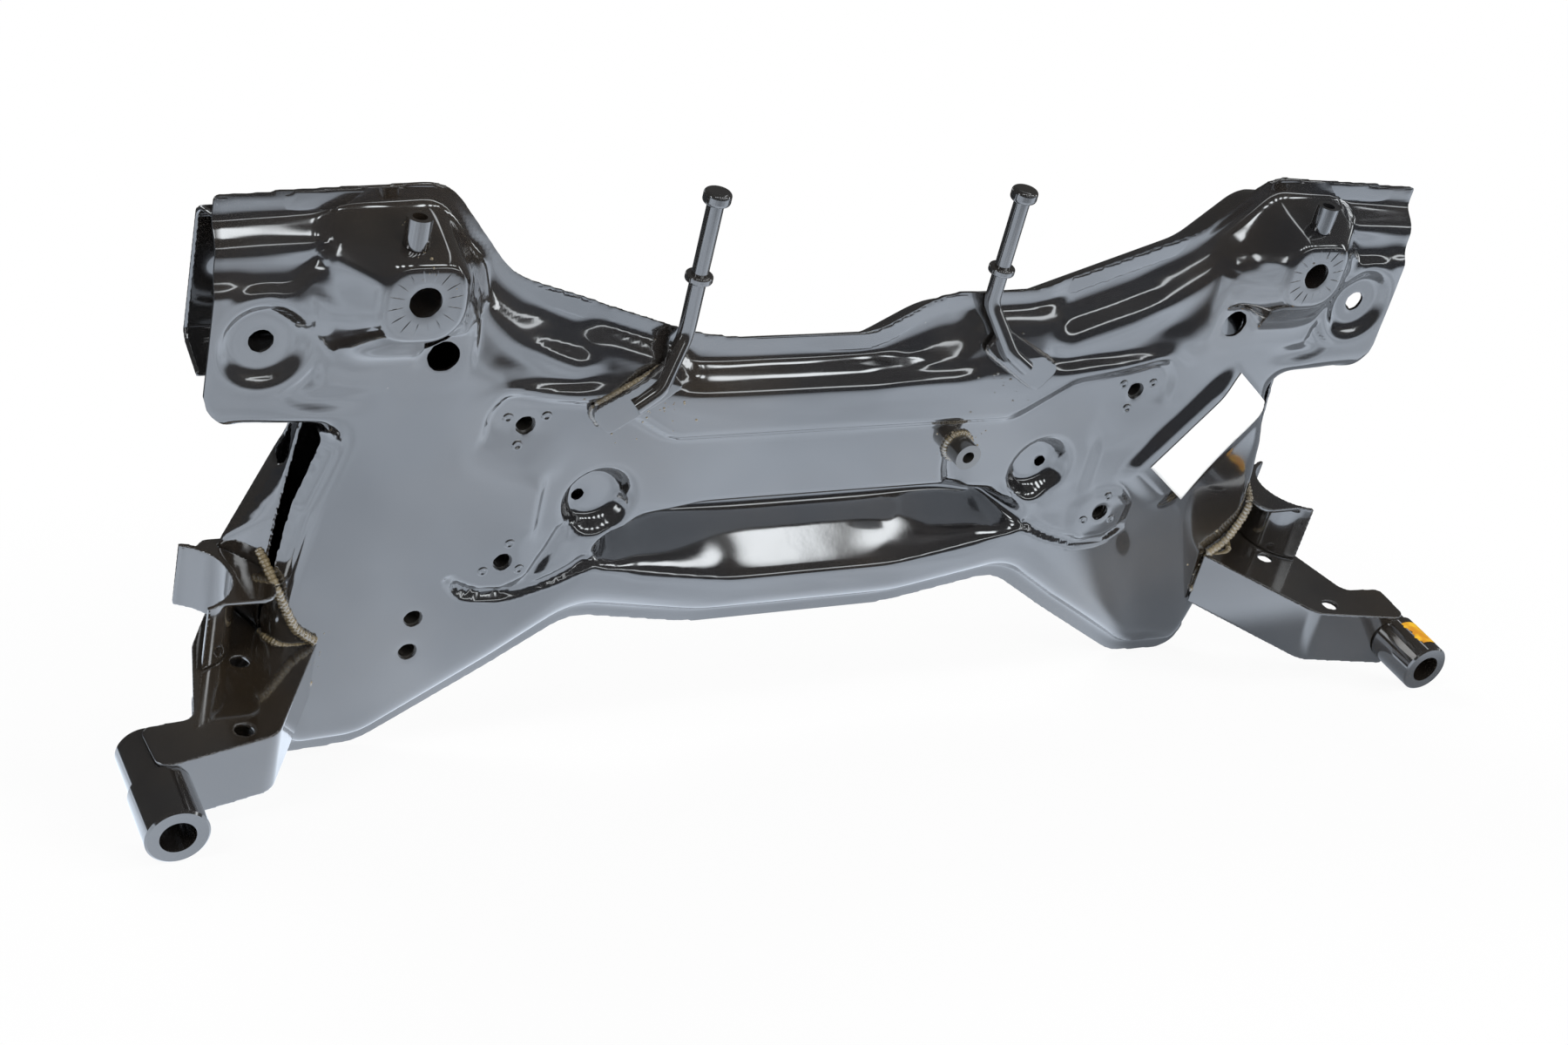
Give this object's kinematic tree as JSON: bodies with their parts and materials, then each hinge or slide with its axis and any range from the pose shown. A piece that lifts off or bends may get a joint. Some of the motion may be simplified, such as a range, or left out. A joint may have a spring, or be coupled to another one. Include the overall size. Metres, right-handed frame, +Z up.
{
  "type": "subframe",
  "caption": "Front subframe of a small car: box beam of two pressed panels with towers, brackets and exhaust hangers, in gloss black paint.",
  "frame": {"origin": "centre of the bounding box's underside, on the floor that it stands on", "axes": "+X across the car along its longest side, +Z up from the floor, +Y away from the deck, the side that the steering gear bolts to"},
  "size_m": [0.8994, 0.1927, 0.3512],
  "materials": {
    "black_paint": "glossy",
    "plated_steel": "satin"
  },
  "bodies": {
    "root": {"bush_nut_left": "plated_steel", "bush_nut_right": "plated_steel", "clip_tube_left": "black_paint", "clip_tube_right": "black_paint", "control_arm_bracket_left": "black_paint", "control_arm_bracket_right": "black_paint", "gear_nut_front_left": "plated_steel", "gear_nut_front_right": "plated_steel", "gear_nut_rear_left": "plated_steel", "gear_nut_rear_right": "plated_steel", "hanger_foot_left": "black_paint", "hanger_foot_right": "black_paint", "hanger_rod_left": "black_paint", "hanger_rod_right": "black_paint", "leg_nut_front": "plated_steel", "leg_nut_rear": "plated_steel", "lower_panel": "black_paint", "spacer_tube_left": "black_paint", "spacer_tube_right": "black_paint", "threaded_boss": "plated_steel", "tower_arm_left": "black_paint", "tower_arm_right": "black_paint", "tower_brace_left": "black_paint", "tower_brace_right": "black_paint", "tower_sleeve_left": "black_paint", "tower_sleeve_right": "black_paint", "upper_panel": "black_paint"}
  },
  "joints": []
}
